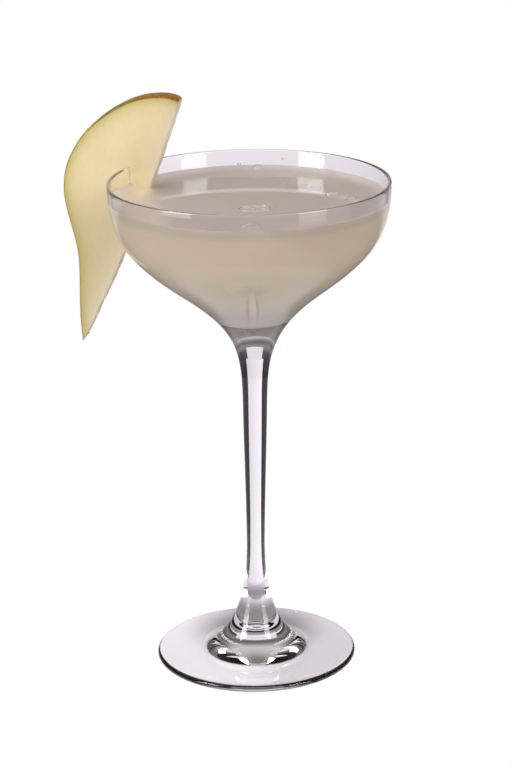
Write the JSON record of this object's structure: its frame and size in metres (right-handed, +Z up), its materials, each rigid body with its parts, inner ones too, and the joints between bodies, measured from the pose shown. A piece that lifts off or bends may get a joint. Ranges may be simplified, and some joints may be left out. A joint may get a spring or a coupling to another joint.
{
  "type": "margarita",
  "caption": "Cloudy pear margarita in a tall stemmed coupe glass, with a slice of pear slit over the rim; a served drink that stands on its round foot.",
  "frame": {"origin": "centre of the foot's flat underside, on the axis of the glass", "axes": "+Z up along the axis of the glass, -Y towards the viewer of the picture, -X towards the side with the pear slice"},
  "size_m": [0.1176, 0.1, 0.2057],
  "materials": {
    "glass": "clear, polished, with a faint lilac tint",
    "drink": "cloudy greyish beige liquid with a glossy surface",
    "pear": "moist cream flesh with a thin yellow-green skin"
  },
  "bodies": {
    "root": {"glass": "glass", "drink": "drink", "pear_slice": "pear"}
  },
  "joints": []
}
